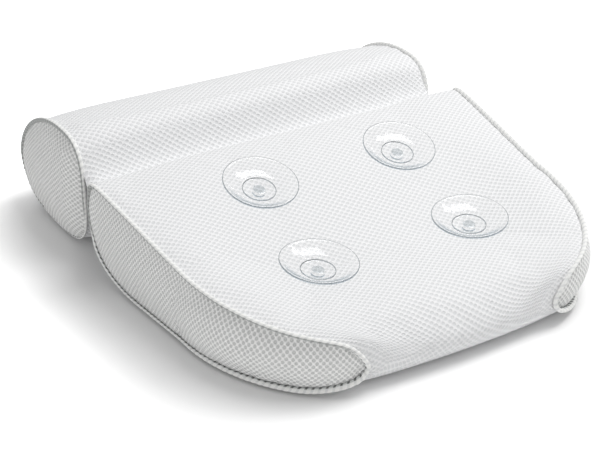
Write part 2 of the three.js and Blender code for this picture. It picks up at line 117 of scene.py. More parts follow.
def pad_stations(back_steps=8, side_steps=26, corner_steps=34, seam_passes=12):
    """Rows across the pad from its back wall to its nose. y runs round a quarter ellipse at the back corner,
    straight along the side, and round a quarter ellipse at the front corner; the seam, the shoulder above it
    and the middle of the top have their heights at each row."""
    back = np.linspace(math.pi / 2, 0, back_steps, endpoint=False)
    side = np.linspace(0, 1, side_steps, endpoint=False)
    corner = np.linspace(0, math.pi / 2, corner_steps + 1)
    y_back = back_corner_y + back_corner_length * np.sin(back)
    y_side = back_corner_y + (corner_y - back_corner_y) * side
    y_corner = corner_y - corner_length * np.sin(corner)

    def along_side(front_value, back_value, y):
        return front_value + (back_value - front_value) * (y - corner_y) / (pad_back_y - corner_y)

    def middle_at(y):
        rise = smooth_step(y, front_y + shelf_length, pad_back_y - crown_setback)
        return shelf_height + (crown_height - shelf_height) * rise

    drop = back_corner_drop * (1 - np.cos(back))
    nose_turn = np.clip((front_y + nose_length - y_corner) / nose_length, 0, 1)
    nose_rise = (middle_at(y_corner) - nose_height) * np.sqrt(1 - nose_turn ** 2)
    seam_share = (1 - seam_tip_fall * np.sin(corner)) * np.cos(corner).clip(0) ** seam_tip_power
    seam_rise = (seam_corner_height - nose_height) * seam_share
    seam_back = along_side(seam_corner_height, seam_back_height, back_corner_y)
    seam_side = along_side(seam_corner_height, seam_back_height, y_side)
    not_corner = np.zeros(back_steps + side_steps)
    return {
        "y": np.concatenate([y_back, y_side, y_corner]),
        "half_width": np.concatenate([
            along_side(side_half_width, back_half_width, y_back),
            along_side(side_half_width, back_half_width, y_side),
            tip_half_width + corner_width * np.cos(corner)]),
        "seam": eased(np.concatenate([seam_back - drop, seam_side, nose_height + seam_rise]), seam_passes),
        "shoulder": np.concatenate([
            shoulder_rise * np.sqrt(np.cos(back).clip(0)),
            np.full(side_steps, shoulder_rise),
            shoulder_rise * np.cos(corner)]),
        "middle": np.concatenate([
            middle_at(back_corner_y) - drop, middle_at(y_side), nose_height + nose_rise]),
        "tuck": np.concatenate([not_corner, bottom_tuck * np.sin(2 * corner)]),
        "turn": np.concatenate([not_corner, corner]),
    }


def pad_top(rows, out):
    """Height of the top: flat in the middle, up to the shoulder as q^n (n + 1 - n q), then down a quarter
    ellipse to the seam. out is the share of the half width, 0 in the middle and 1 at the seam."""
    crest = 1 - shoulder_width / rows["half_width"][:, None]
    share = np.minimum(out / crest, 1)
    rise = share ** dish_power * (dish_power + 1 - dish_power * share)
    middle = rows["middle"][:, None]
    seam = rows["seam"][:, None]
    shoulder = rows["shoulder"][:, None]
    fall = np.clip((out - crest) / (1 - crest), 0, 1)
    over = seam + shoulder * np.sqrt(1 - fall ** 2)
    return np.where(out <= crest, middle + (seam + shoulder - middle) * rise, over)


def pad_bottom(rows, out):
    """Height of the underside: on the floor in the middle, lifted to the seams as a square, rounded up to
    the nose by a power of a circle, which is blunter at the gussets' tips, and to the heel by a quarter
    ellipse."""
    y = rows["y"][:, None]
    flat = seam_lift * np.clip((out - bottom_flat_share) / (1 - bottom_flat_share), 0, 1) ** 2
    nose = np.clip((front_y + nose_undercut - y) / nose_undercut, 0, 1)
    heel = np.clip((y - pad_back_y + heel_length) / heel_length, 0, 1)
    roundness = nose_roundness + (tip_roundness - nose_roundness) * out ** 4
    at_nose = nose_height - (nose_height - flat) * (1 - nose ** 2) ** roundness
    at_heel = heel_height - (heel_height - flat) * np.sqrt(1 - heel ** 2)
    return np.where(nose > 0, at_nose, np.where(heel > 0, at_heel, flat))


def pad_across(rows, top_columns=26, shoulder_columns=9):
    """Places across the pad as shares of the half width: even steps over the top, then equal turns over the
    shoulder to the seam, mirrored left and right."""
    crest = 1 - shoulder_width / rows["half_width"][:, None]
    top = crest * np.arange(top_columns + 1) / top_columns
    turn = (math.pi / 2) * np.arange(1, shoulder_columns + 1) / shoulder_columns
    shoulder = crest + (1 - crest) * np.sin(turn)
    half = np.concatenate([top, shoulder], axis=1)
    return np.concatenate([-half[:, :0:-1], half], axis=1)


def arc_length(points):
    """Distance along a row of points, from its first."""
    steps = np.linalg.norm(np.diff(points, axis=0), axis=1)
    return np.concatenate([[0], np.cumsum(steps)])


# The front edge bows out between the gussets' tips, and the back corner on the right stands a little higher.
pad = pad_stations()
pad_out = pad_across(pad)
pad_x = pad_out * pad["half_width"][:, None]
near_front = smooth_step(-pad["y"], -front_y - front_bow_length, -front_y)[:, None]
pad_y = pad["y"][:, None] - front_bow * near_front * (1 - pad_out ** 2)
top_points = np.stack([pad_x, pad_y, pad_top(pad, np.abs(pad_out))], axis=-1)
lift_share = smooth_step(pad_x, right_lift_start, right_lift_end) * smooth_step(pad_y, front_y, pad_back_y)
top_points[..., 2] += right_corner_lift * lift_share
bottom_points = np.stack([pad_x, pad_y + pad["tuck"][:, None], pad_bottom(pad, np.abs(pad_out))], axis=-1)
wall_share = np.linspace(0, 1, wall_rows + 1)[1:-1, None, None]
wall_points = bottom_points[0] + (top_points[0] - bottom_points[0]) * wall_share
wall_points[..., 1] += wall_bulge * np.sin(math.pi * wall_share[..., 0])

# The wrap goes over the top, back along the underside and up the back wall. Its UVs are metres of cloth:
# across from its middle, leaning with the run, and along.
wrap_points = np.concatenate([top_points, bottom_points[-2::-1], wall_points, top_points[:1]])
wrap_middle = wrap_points.shape[1] // 2
wrap_run = arc_length(wrap_points[:, wrap_middle])
wrap_steps = np.linalg.norm(np.diff(wrap_points, axis=1), axis=2)
wrap_reach = np.concatenate([np.zeros((len(wrap_points), 1)), np.cumsum(wrap_steps, axis=1)], axis=1)
wrap_reach -= wrap_reach[:, wrap_middle:wrap_middle + 1]
wrap_climb = np.linalg.norm(np.diff(wrap_points, axis=0), axis=2)
wrap_climb = np.concatenate([np.zeros((1, wrap_points.shape[1])), np.cumsum(wrap_climb, axis=0)])
wrap_uv = np.stack([wrap_reach + weave_lean * wrap_run[:, None], wrap_climb], axis=-1)


def gusset_points(side):
    """Side of the pad between its lower and upper seam: the plan curve pushed out by a half sine up the
    height and by a power of a half sine along the length, with more push round the corner as the sine of
    twice the turn. Its back edge bows out with the back wall."""
    rise = np.linspace(0, 1, wall_rows + 1)
    along = np.linspace(0, 1, len(pad["y"]))
    turn = pad["turn"][:, None]
    push = gusset_bulge + (corner_bulge - gusset_bulge) * np.sin(2 * turn)
    bulge = push * np.sin(math.pi * rise) * np.sin(math.pi * along)[:, None].clip(0) ** gusset_bulge_power
    column = 0 if side < 0 else -1
    low = bottom_points[:, column, 2][:, None]
    high = top_points[:, column, 2][:, None]
    x = pad["half_width"][:, None] + bulge * np.cos(turn)
    near_wall = smooth_step(pad["y"], back_corner_y, pad_back_y)[:, None]
    y = pad["y"][:, None] + pad["tuck"][:, None] * (1 - rise) - bulge * np.sin(turn)
    y = y + wall_bulge * np.sin(math.pi * rise) * near_wall
    return np.stack([side * x, y, low + (high - low) * rise], axis=-1)


gussets = {side: gusset_points(side) for side in (-1, 1)}
gusset_run = arc_length(np.stack([pad["half_width"], pad["y"]], axis=-1))
gusset_height = gussets[1][..., 2]
gusset_uv = np.stack([gusset_height, np.broadcast_to(gusset_run[:, None], gusset_height.shape)], axis=-1)


def surface_mesh(name, grids, join_distance=2e-5, sliver_length=1e-6):
    """One mesh from grids of points with their UVs in metres. Each grid is (points, uv, turned, slot): quads
    between neighbouring rows and columns, turned over where asked, in that material slot. Points that meet
    are joined."""
    points, uvs, faces, slots, count = [], [], [], [], 0
    for grid, uv, turned, slot in grids:
        rows, columns = grid.shape[:2]
        index = count + np.arange(rows * columns).reshape(rows, columns)
        corners = [index[:-1, :-1], index[1:, :-1], index[1:, 1:], index[:-1, 1:]]
        quads = np.stack(corners, axis=-1).reshape(-1, 4)
        faces.append(quads[:, ::-1] if turned else quads)
        points.append(grid.reshape(-1, 3))
        uvs.append(uv.reshape(-1, 2))
        slots.append(np.full(len(quads), slot))
        count += rows * columns
    mesh = bpy.data.meshes.new(name)
    mesh.from_pydata(np.concatenate(points).tolist(), [], np.concatenate(faces).tolist())
    corner = np.zeros(len(mesh.loops), np.int32)
    mesh.loops.foreach_get("vertex_index", corner)
    layer = mesh.uv_layers.new(name="UVMap")
    layer.data.foreach_set("uv", np.concatenate(uvs)[corner].astype(np.float32).ravel())
    mesh.polygons.foreach_set("material_index", np.concatenate(slots))
    body = bmesh.new()
    body.from_mesh(mesh)
    bmesh.ops.remove_doubles(body, verts=body.verts, dist=join_distance)
    bmesh.ops.dissolve_degenerate(body, edges=body.edges, dist=sliver_length)
    body.to_mesh(mesh)
    body.free()
    mesh.polygons.foreach_set("use_smooth", np.ones(len(mesh.polygons), bool))
    return mesh


def place(name, mesh, *materials):
    """A finished piece: its object sits at the origin, with its place in its mesh."""
    piece = bpy.data.objects.new(name, mesh)
    for material in materials:
        mesh.materials.append(material)
    bpy.context.scene.collection.objects.link(piece)
    return piece


def linear(code):
    """An sRGB hex colour as linear RGBA."""
    parts = np.array([int(code[i:i + 2], 16) for i in (1, 3, 5)]) / 255
    curve = np.where(parts <= 0.04045, parts / 12.92, ((parts + 0.055) / 1.055) ** 2.4)
    return (*curve.tolist(), 1.0)


def add(tree, kind, sockets=None, **settings):
    """Add a node with its settings; each socket takes a value, or a link from another node's output."""
    node = tree.nodes.new(kind)
    for name, value in settings.items():
        setattr(node, name, value)
    for name, value in (sockets or {}).items():
        if isinstance(value, bpy.types.NodeSocket):
            tree.links.new(value, node.inputs[name])
        else:
            node.inputs[name].default_value = value
    return node


def mixed(tree, share, first, second):
    """The colour that goes from first to second with share. Each is a hex colour or a node's output."""
    colours = [linear(colour) if isinstance(colour, str) else colour for colour in (first, second)]
    mix = add(tree, "ShaderNodeMix", {"Factor": share, "A": colours[0], "B": colours[1]}, data_type="RGBA")
    return mix.outputs["Result"]


# White polyester air mesh: a knitted spacer fabric. Rows of staggered holes are darker, partly the back
# layer seen through them and partly painted shade inside them, and the threads between them stand up as
# rounded ridges with a matt, faintly hairy surface.
hole_half_pitch_across = 0.00292
hole_half_pitch_along = 0.00245
hole_edge = 0.20
thread_edge = 0.52
hair_size = 0.000625
hair_relief = 0.25


def air_mesh_material(name, hole_shade_colour, thread_colour, ridge, fineness=1.0):
    """The knitted spacer fabric: holes at the points of a staggered lattice, fineness times closer, and
    ridge metres of relief."""
    material = bpy.data.materials.new(name)
    material.use_nodes = True
    tree = material.node_tree
    shader = tree.nodes["Principled BSDF"]
    uv = add(tree, "ShaderNodeUVMap", uv_map="UVMap")
    closeness = fineness * math.sqrt(0.5)
    lattice = add(tree, "ShaderNodeMapping", {
        "Vector": uv.outputs["UV"],
        "Rotation": (0, 0, math.pi / 4),
        "Scale": (closeness / hole_half_pitch_across, closeness / hole_half_pitch_along, 1)})
    holes = add(tree, "ShaderNodeTexVoronoi", {
        "Vector": lattice.outputs["Vector"], "Scale": 1.0, "Randomness": 0.0},
        voronoi_dimensions="2D", feature="F1")
    threads = add(tree, "ShaderNodeMapRange", {
        "Value": holes.outputs["Distance"], "From Min": hole_edge, "From Max": thread_edge},
        interpolation_type="SMOOTHSTEP")
    spot = add(tree, "ShaderNodeTexCoord")
    hairs = add(tree, "ShaderNodeTexNoise", {
        "Vector": spot.outputs["Object"], "Scale": 1 / hair_size, "Detail": 2.0})
    relief = add(tree, "ShaderNodeMath", {
        0: hairs.outputs["Fac"], 1: hair_relief, 2: threads.outputs["Result"]}, operation="MULTIPLY_ADD")
    bump = add(tree, "ShaderNodeBump", {
        "Height": relief.outputs["Value"], "Strength": 0.7, "Distance": ridge})
    # The holes' colour is partly the back layer and partly painted shade inside them.
    colour = mixed(tree, threads.outputs["Result"], hole_shade_colour, thread_colour)
    tree.links.new(colour, shader.inputs["Base Color"])
    tree.links.new(bump.outputs["Normal"], shader.inputs["Normal"])
    shader.inputs["Roughness"].default_value = 0.85
    shader.inputs["Specular IOR Level"].default_value = 0.25
    shader.inputs["Sheen Weight"].default_value = 0.15
    return material


air_mesh = air_mesh_material("white_polyester_air_mesh", "#e3e4e5", "#f6f6f7", ridge=0.0007)
# Gussets and end panels take a lit and shaded copy: darker holes, painted shade, and brighter threads,
# painted light, with more relief and a finer lattice.
side_mesh_painted_light_and_shade = air_mesh_material(
    "white_polyester_air_mesh_sides", "#d0d1d0", "#fcfcfb", ridge=0.0010, fineness=1.15)

pad_cover = place("pad_cover", surface_mesh("pad_cover", [
    (wrap_points, wrap_uv, False, 0),
    (gussets[1], gusset_uv, True, 1),
    (gussets[-1], gusset_uv, False, 1),
]), air_mesh, side_mesh_painted_light_and_shade)


def puffed(piece, held, pressure, slack, reach, frames=20):
    """A cover blown up by its filling. Its mesh runs as cloth that is cut slack larger than its shape, under
    an even pressure and without weight, with the held points pinned. Each point keeps its move, shortened
    smoothly so that it never passes reach: move / (1 + move / reach)."""
    scene = bpy.context.scene
    mesh = piece.data
    before = np.zeros(len(mesh.vertices) * 3)
    mesh.vertices.foreach_get("co", before)
    before = before.reshape(-1, 3)
    group = piece.vertex_groups.new(name="held")
    group.add(np.flatnonzero(held(before)).tolist(), 1.0, "REPLACE")
    cloth = piece.modifiers.new("filling", "CLOTH")
    cloth.settings.vertex_group_mass = "held"
    cloth.settings.use_pressure = True
    cloth.settings.uniform_pressure_force = pressure
    cloth.settings.shrink_min = -slack
    cloth.settings.effector_weights.gravity = 0
    cloth.point_cache.frame_start = 1
    cloth.point_cache.frame_end = frames
    for moment in range(1, frames + 1):
        scene.frame_set(moment)
    result = piece.evaluated_get(bpy.context.evaluated_depsgraph_get()).to_mesh()
    after = np.zeros(len(result.vertices) * 3)
    result.vertices.foreach_get("co", after)
    piece.modifiers.remove(cloth)
    piece.vertex_groups.remove(group)
    scene.frame_set(1)
    move = after.reshape(-1, 3) - before
    length = np.linalg.norm(move, axis=1, keepdims=True)
    mesh.vertices.foreach_set("co", (before + move / (1 + length / reach)).ravel())
    mesh.update()


def near_any(points, marks, radius):
    """True for each point that lies within radius of one of the marks."""
    apart = np.linalg.norm(points[:, None] - marks, axis=2)
    return (apart < radius).any(axis=1)


seam_hold_radius = 1e-4
cup_hold_radius = 0.012
floor_hold_height = 0.006
crease_hold_y = 0.028
pad_edges = np.concatenate([
    np.concatenate([grid[:, 0], grid[:, -1]]) for grid in (top_points, bottom_points, wall_points)])
cup_joints = [joint for joint in frame["joints"] if joint["name"].endswith("_swivel")]
cup_seats = np.array([joint["pos_m"] for joint in cup_joints])


def pad_held(points):
    """Points on the seams, round the cup studs, near the floor and along the crease and the back wall."""
    on_seam = near_any(points, pad_edges, seam_hold_radius)
    by_cup = near_any(points, cup_seats, cup_hold_radius)
    return on_seam | by_cup | (points[:, 2] < floor_hold_height) | (points[:, 1] > crease_hold_y)


puffed(pad_cover, pad_held, pressure=3.0, slack=0.006, reach=0.003)
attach(pad_cover, "pad")
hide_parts("pad_wrap", "pad_left_gusset", "pad_right_gusset", "pad_foam")


# Pad seams. The edges of wrap and gusset are sewn together with their raw edges outside and overlocked:
# white thread wraps round the cut edges in slanting stitches, so that the seam stands up as a narrow band
# all round the gusset. It is thin along the floor and thickest under the tip.
seam_height = 0.0016
upper_seam_depth = 0.0021
lower_seam_depth = 0.0011
tip_seam_depth = 0.0027
upper_seam_slope = 0.9
lower_seam_slope = -0.25
wall_seam_aside = 0.8
wall_seam_back = 0.6
stitch_pitch = 0.0048
stitch_relief = 0.06
band_passes = 70


def loop_smoothed(values, passes):
    """Values round a closed loop, their corners rounded: each pass takes a quarter of both neighbours."""
    for _ in range(passes):
        values = (np.roll(values, 1, axis=0) + 2 * values + np.roll(values, -1, axis=0)) / 4
    return values


def seam_tube(path, outward, depth, side, thickness=seam_height, sides=10, rings_per_stitch=8):
    """A closed band along a seam: an ellipse carried along the path and off it along outward by its own
    depth. Its size swells with a cosine of the distance along the path plus the turn round it, as slanting
    thread does. Returns points and UVs: the stitch along the band, and the turn, a quarter where it faces
    the end panel."""
    columns = np.column_stack([path, outward, depth])
    loop = np.concatenate([columns, columns[:1]])
    run = arc_length(loop[:, :3])
    stitches = round(run[-1] / stitch_pitch)
    at = np.linspace(0, run[-1], stitches * rings_per_stitch, endpoint=False)
    even = np.stack([np.interp(at, run, loop[:, k]) for k in range(loop.shape[1])], axis=-1)
    even = loop_smoothed(even, band_passes)
    even = np.concatenate([even, even[:1]])
    centre, push, reach = even[:, :3], even[:, 3:6], even[:, 6:]
    along = np.roll(centre[:-1], -1, axis=0) - np.roll(centre[:-1], 1, axis=0)
    along = np.concatenate([along, along[:1]])
    along /= np.linalg.norm(along, axis=1, keepdims=True)
    across = np.cross(along, push)
    across /= np.linalg.norm(across, axis=1, keepdims=True)
    push = np.cross(across, along)
    turn = np.linspace(0, 2 * math.pi, sides + 1)
    stitch = np.linspace(0, stitches, len(even))[:, None]
    swell = 1 + stitch_relief * np.cos(2 * math.pi * stitch + turn)
    out = (reach * swell * np.cos(turn))[..., None] * push[:, None]
    height = np.minimum(thickness, reach)
    up = (height * swell * np.sin(turn))[..., None] * across[:, None]
    points = centre[:, None] + reach[..., None] * push[:, None] + out + up
    points[:, -1] = points[:, 0]
    uv = np.stack(np.broadcast_arrays(stitch, -side * turn / (2 * math.pi)), axis=-1)
    return points, uv


def turn_band(tree, turn, middle, half_width, softness=0.2):
    """1 where a turn lies within half_width of the middle, whole turns apart too, and 0 further off."""
    from_middle = add(tree, "ShaderNodeMath", {0: turn, 1: middle}, operation="SUBTRACT")
    angle = add(tree, "ShaderNodeMath", {
        0: from_middle.outputs["Value"], 1: 2 * math.pi}, operation="MULTIPLY")
    near = add(tree, "ShaderNodeMath", {0: angle.outputs["Value"]}, operation="COSINE")
    limit = math.cos(2 * math.pi * half_width)
    band = add(tree, "ShaderNodeMapRange", {
        "Value": near.outputs["Value"], "From Min": limit, "From Max": limit + softness * (1 - limit)})
    return band.outputs["Result"]


# Overlocked polyester thread: dull and white, painted a little darker in the gaps between its stitches as
# painted shade. The face that is turned to the end panel has a grey line of painted shade under the seam's
# ridge high up on the pillow, and dark gaps of painted shade between the stitches near the floor.
# Heights where the painted shade on the panel face goes from a grey line to dark gaps.
painted_shade_line_above = 0.045
painted_gap_shade_below = 0.030
overlock = bpy.data.materials.new("overlocked_polyester_thread")
overlock.use_nodes = True
tree = overlock.node_tree
shader = tree.nodes["Principled BSDF"]
uv = add(tree, "ShaderNodeUVMap", uv_map="UVMap")
parts = add(tree, "ShaderNodeSeparateXYZ", {"Vector": uv.outputs["UV"]})
slant = add(tree, "ShaderNodeMath", {0: parts.outputs["X"], 1: parts.outputs["Y"]}, operation="ADD")
angle = add(tree, "ShaderNodeMath", {0: slant.outputs["Value"], 1: 2 * math.pi}, operation="MULTIPLY")
wave = add(tree, "ShaderNodeMath", {0: angle.outputs["Value"]}, operation="COSINE")
# Painted shade: the thread is darker in the gaps between its slanting stitches.
gap_shade = add(tree, "ShaderNodeMapRange", {
    "Value": wave.outputs["Value"], "From Min": 0.1, "From Max": -0.8}, interpolation_type="SMOOTHSTEP")
between = gap_shade.outputs["Result"]
thread = mixed(tree, between, "#f5f5f3", "#e4e5e4")
# Painted shade on the face turned to the panel: a grey line under the ridge high up, dark gaps between the
# stitches near the floor.
upper_shade_line = mixed(tree, between, "#b6b8b7", "#989a99")
lower_gap_shade = mixed(tree, between, "#d8dad9", "#6f7170")
upper_shade_band = turn_band(tree, parts.outputs["Y"], middle=0.26, half_width=0.18)
lower_shade_band = turn_band(tree, parts.outputs["Y"], middle=0.34, half_width=0.11)
upper_thread_shaded = mixed(tree, upper_shade_band, thread, upper_shade_line)
lower_thread_shaded = mixed(tree, lower_shade_band, thread, lower_gap_shade)
spot = add(tree, "ShaderNodeTexCoord")
spot_parts = add(tree, "ShaderNodeSeparateXYZ", {"Vector": spot.outputs["Object"]})
near_floor_share = add(tree, "ShaderNodeMapRange", {
    "Value": spot_parts.outputs["Z"], "From Min": painted_shade_line_above, "From Max": painted_gap_shade_below},
    interpolation_type="SMOOTHSTEP")
thread_colour = mixed(tree, near_floor_share.outputs["Result"], upper_thread_shaded, lower_thread_shaded)
tree.links.new(thread_colour, shader.inputs["Base Color"])
shader.inputs["Roughness"].default_value = 0.9
shader.inputs["Specular IOR Level"].default_value = 0.2

for side, name in ((-1, "left"), (1, "right")):
    column = 0 if side < 0 else -1
    path = np.concatenate([top_points[:, column], bottom_points[-2::-1, column], wall_points[:, column]])
    plan = np.stack([
        side * np.cos(pad["turn"]) * corner_length, -np.sin(pad["turn"]) * corner_width], axis=-1)
    plan /= np.linalg.norm(plan, axis=1, keepdims=True)
    upper = np.column_stack([plan, np.full(len(plan), upper_seam_slope)])
    lower = np.column_stack([plan, np.full(len(plan), lower_seam_slope)])[-2::-1]
    wall = np.tile([side * wall_seam_aside, wall_seam_back, 0.0], (len(wall_points), 1))
    tip_share = np.sin(pad["turn"])[-2::-1]
    depth = np.concatenate([
        np.full(len(upper), upper_seam_depth),
        lower_seam_depth + (tip_seam_depth - lower_seam_depth) * tip_share,
        np.full(len(wall), lower_seam_depth)])
    points, uv = seam_tube(path, np.concatenate([upper, lower, wall]), depth, side)
    seam_mesh = surface_mesh(f"pad_{name}_overlock", [(points, uv, side > 0, 0)])
    seam = place(f"pad_{name}_overlock", seam_mesh, overlock)
    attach(seam, "pad")
    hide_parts(f"pad_{name}_seam")


# Roll cover. The same mesh goes once round a loaf of foam: blunt towards the pad, falling away to the back
# and pressed flat underneath. An end panel is sewn into each end and swells outwards.
roll_front_y = 0.07515
roll_length = 0.322
roll_depth = 0.1265
roll_top_setback = 0.040
roll_bottom_setback = 0.061
roll_front_height = 0.057
roll_back_height = 0.0365
roll_end_height = 0.097
roll_top_crown = 0.006
roll_back_crown = 0.003
roll_sag = 0.0015
roll_end_bulge = 0.015
roll_end_bulge_power = 1.4
roll_swell_power = 8
roll_front_top_power = 3.4
roll_front_top_swell = 0.8
roll_top_back_power = 1.85
roll_back_bottom_power = 2.7
roll_bottom_front_power = 3.5
roll_rows = 65
roll_hold_depth = 0.022


def roll_section(x, steps=22):
    """Loops round the roll at places x along it: four quarters of superellipses, from the front over the
    top, down the back and along the underside, with a crown that grows fast from the ends to the middle."""
    x = x[:, None]
    swell = 1 - np.abs(2 * x / roll_length) ** roll_swell_power
    top = roll_end_height + roll_top_crown * swell
    back = roll_front_y + roll_depth + roll_back_crown * swell
    bottom = seam_lift - (seam_lift + roll_sag) * swell
    top_y = roll_front_y + roll_top_setback
    bottom_y = roll_front_y + roll_bottom_setback
    turn = (math.pi / 2) * np.arange(steps) / steps

    def quarter(start, end, power):
        return start * np.cos(turn) ** (2 / power), end * np.sin(turn) ** (2 / power)

    def joined(*quarters):
        return np.concatenate([np.broadcast_to(values, (len(x), steps)) for values in quarters], axis=1)

    front_top_power = roll_front_top_power + roll_front_top_swell * swell
    y1, z1 = quarter(roll_front_y - top_y, top - roll_front_height, front_top_power)
    z2, y2 = quarter(top - roll_back_height, back - top_y, roll_top_back_power)
    y3, z3 = quarter(back - bottom_y, bottom - roll_back_height, roll_back_bottom_power)
    z4, y4 = quarter(bottom - roll_front_height, roll_front_y - bottom_y, roll_bottom_front_power)
    y = joined(top_y + y1, top_y + y2, bottom_y + y3, bottom_y + y4)
    z = joined(roll_front_height + z1, roll_back_height + z2, roll_back_height + z3, roll_front_height + z4)
    loop = np.stack([np.broadcast_to(x, y.shape), y, np.maximum(z, 0)], axis=-1)
    return np.concatenate([loop, loop[:, :1]], axis=1)


def end_panel(loop, side, rings=14):
    """Panel across the end of the roll: its loop drawn in to its middle by 1 - cos a, and pushed out by a
    power of sin a, a being 0 at the seam and a quarter turn in the middle."""
    angle = np.linspace(0, math.pi / 2, rings + 1)[:, None, None]
    centre = loop[:-1].mean(axis=0)
    points = loop + (centre - loop) * (1 - np.cos(angle))
    points[..., 0] += side * roll_end_bulge * np.sin(angle[..., 0]) ** roll_end_bulge_power
    return points


roll_points = roll_section(roll_length / 2 * np.sin(np.linspace(-math.pi / 2, math.pi / 2, roll_rows)))
roll_run = arc_length(roll_points[roll_rows // 2])
roll_uv = np.stack([roll_points[..., 0], np.broadcast_to(roll_run, roll_points.shape[:2])], axis=-1)
roll_edges = {-1: roll_points[0], 1: roll_points[-1]}
ends = {side: end_panel(edge, side) for side, edge in roll_edges.items()}
roll_cover = place("roll_cover", surface_mesh("roll_cover", [
    (roll_points, roll_uv, True, 0),
    (ends[-1], ends[-1][..., 1:], False, 1),
    (ends[1], ends[1][..., 1:], True, 1),
]), air_mesh, side_mesh_painted_light_and_shade)


def roll_held(points):
    """Points on the end seams, near the floor and on the front, where the crease lies against it."""
    on_seam = near_any(points, np.concatenate([roll_edges[-1], roll_edges[1]]), seam_hold_radius)
    return on_seam | (points[:, 2] < floor_hold_height) | (points[:, 1] < roll_front_y + roll_hold_depth)


puffed(roll_cover, roll_held, pressure=3.0, slack=0.01, reach=0.003)
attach(roll_cover, "roll")
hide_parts("roll_wrap", "roll_left_end", "roll_right_end", "roll_foam")


# Roll seams. Each end panel is sewn in with the same overlocked edge as the pad's gussets. The band leans
# out over the panel and thins out towards the floor, where the roll presses it flat.
roll_seam_depth = 0.0020
roll_seam_height = 0.0021
roll_seam_slant = 0.45
roll_seam_turn = 0.15
roll_seam_thin = 0.4
roll_seam_thin_below = 0.015
roll_seam_full_above = 0.050
for side, name in ((-1, "left"), (1, "right")):
    path = roll_edges[side][:-1]
    along = np.roll(path, -1, axis=0) - np.roll(path, 1, axis=0)
    outward = np.cross(along, [-1.0, 0.0, 0.0])
    outward /= np.linalg.norm(outward, axis=1, keepdims=True)
    outward *= roll_seam_slant
    outward[:, 0] = side
    full = smooth_step(path[:, 2], roll_seam_thin_below, roll_seam_full_above)
    depth = roll_seam_depth * (roll_seam_thin + (1 - roll_seam_thin) * full)
    points, uv = seam_tube(path, outward, depth, -side, roll_seam_height)
    uv[..., 1] += roll_seam_turn
    seam_mesh = surface_mesh(f"roll_{name}_overlock", [(points, uv, side < 0, 0)])
    seam = place(f"roll_{name}_overlock", seam_mesh, overlock)
    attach(seam, "roll")
    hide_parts(f"roll_{name}_seam")


# Crease. The mesh runs on from the pad's top to the roll without a break and dips between them, where it is
# drawn down and sewn underneath. The pillow folds along this line; this sheet stays at rest, hung on neither
# part.
crease_start_y = 0.037
crease_roll_step = 9
crease_middle_y = 0.0625
crease_low = 0.064
crease_half_length = 0.1625
crease_end_round = 0.010
crease_end_drop = 0.013
crease_level_run = 0.008
crease_fall_run = 0.017
crease_fall = 0.004
crease_half_valley = 0.0045
crease_rise_run = 0.013


def crease_points(rows=28, columns=81):
    """A sheet along the roll. Its section is a Bezier curve of degree six: it leaves the pad's top level,
    dips to the crease and comes up the roll's front along its surface. Its two ends round down as quarter
    ellipses."""
    x = crease_half_length * np.sin(np.linspace(-math.pi / 2, math.pi / 2, columns))
    station = int(np.argmin(np.abs(pad["y"] - crease_start_y)))
    start_z = np.interp(x, top_points[station, :, 0], top_points[station, :, 2])
    start = np.stack([np.full(columns, pad["y"][station]), start_z], axis=-1)
    loops = roll_section(x)
    end = loops[:, crease_roll_step, 1:]
    rising = loops[:, crease_roll_step + 1, 1:] - loops[:, crease_roll_step - 1, 1:]
    rising = rising / np.linalg.norm(rising, axis=1, keepdims=True)
    past = np.clip((np.abs(x) - crease_half_length + crease_end_round) / crease_end_round, 0, 1)
    low = crease_low - crease_end_drop * (1 - np.sqrt(1 - past ** 2))
    controls = np.stack([
        start,
        start + [crease_level_run, 0],
        start + [crease_fall_run, -crease_fall],
        np.stack([np.full(columns, crease_middle_y - crease_half_valley), low], axis=-1),
        np.stack([np.full(columns, crease_middle_y + crease_half_valley), low], axis=-1),
        end - crease_rise_run * rising,
        end])
    t = np.linspace(0, 1, rows)[:, None]
    degree = len(controls) - 1
    power = np.arange(degree + 1)
    choices = np.array([math.comb(degree, k) for k in power])
    section = np.einsum("rk,kcd->rcd", choices * t ** power * (1 - t) ** (degree - power), controls)
    return np.concatenate([np.broadcast_to(x[:, None], (rows, columns, 1)), section], axis=-1), station


# The weave runs on from the pad's holes to the roll's: it is stretched to a whole number of rows of holes.
points, station = crease_points()
crease_run = arc_length(points[:, points.shape[1] // 2])
weave_period = 2 * hole_half_pitch_along
roll_end_run = roll_run[crease_roll_step]
pad_start_run = -wrap_run[station]
periods = round((roll_end_run - crease_run[-1] - pad_start_run) / weave_period)
first_run = pad_start_run + periods * weave_period
crease_v = first_run + (roll_end_run - first_run) * crease_run / crease_run[-1]
uv = np.stack([points[..., 0], np.broadcast_to(crease_v[:, None], points.shape[:2])], axis=-1)
crease = place("crease_cover", surface_mesh("crease_cover", [(points, uv, True, 0)]), air_mesh)
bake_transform(crease)
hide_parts("crease_pad_flap", "crease_bead", "crease_roll_flap")


# Suction cups. Each is moulded in one piece in clear soft PVC: a thin bowl with a flat lip, a sunk floor
# with a small nub in the middle, and a stud below that holds it in the mesh.
cup_rim_radius = 0.029
cup_rim_thickness = 0.0012
cup_lip_width = 0.0016
cup_flare = 0.005
cup_depth = 0.008
cup_floor_radius = 0.013
cup_floor_thickness = 0.0022
cup_floor_step = 0.0014
cup_seat_radius = 0.008
cup_seat_gap = 0.0013
cup_nub_radius = 0.005
cup_nub_height = 0.0008
cup_crisp_edge = 0.0004
cup_line_width = 0.0005
stud_radius = 0.005
stud_head_radius = 0.008
stud_head_top = -0.0063
stud_head_height = 0.003
stud_head_chamfer = 0.002
stud_rows = 5
curve_rows = 18


def bezier(a, b, c, d):
    """Points along a cubic Bezier curve from a to d with handles b and c."""
    t = np.linspace(0, 1, curve_rows)[:, None]
    a, b, c, d = np.array([a, b, c, d])
    return (1 - t) ** 3 * a + 3 * t * (1 - t) ** 2 * b + 3 * t ** 2 * (1 - t) * c + t ** 3 * d


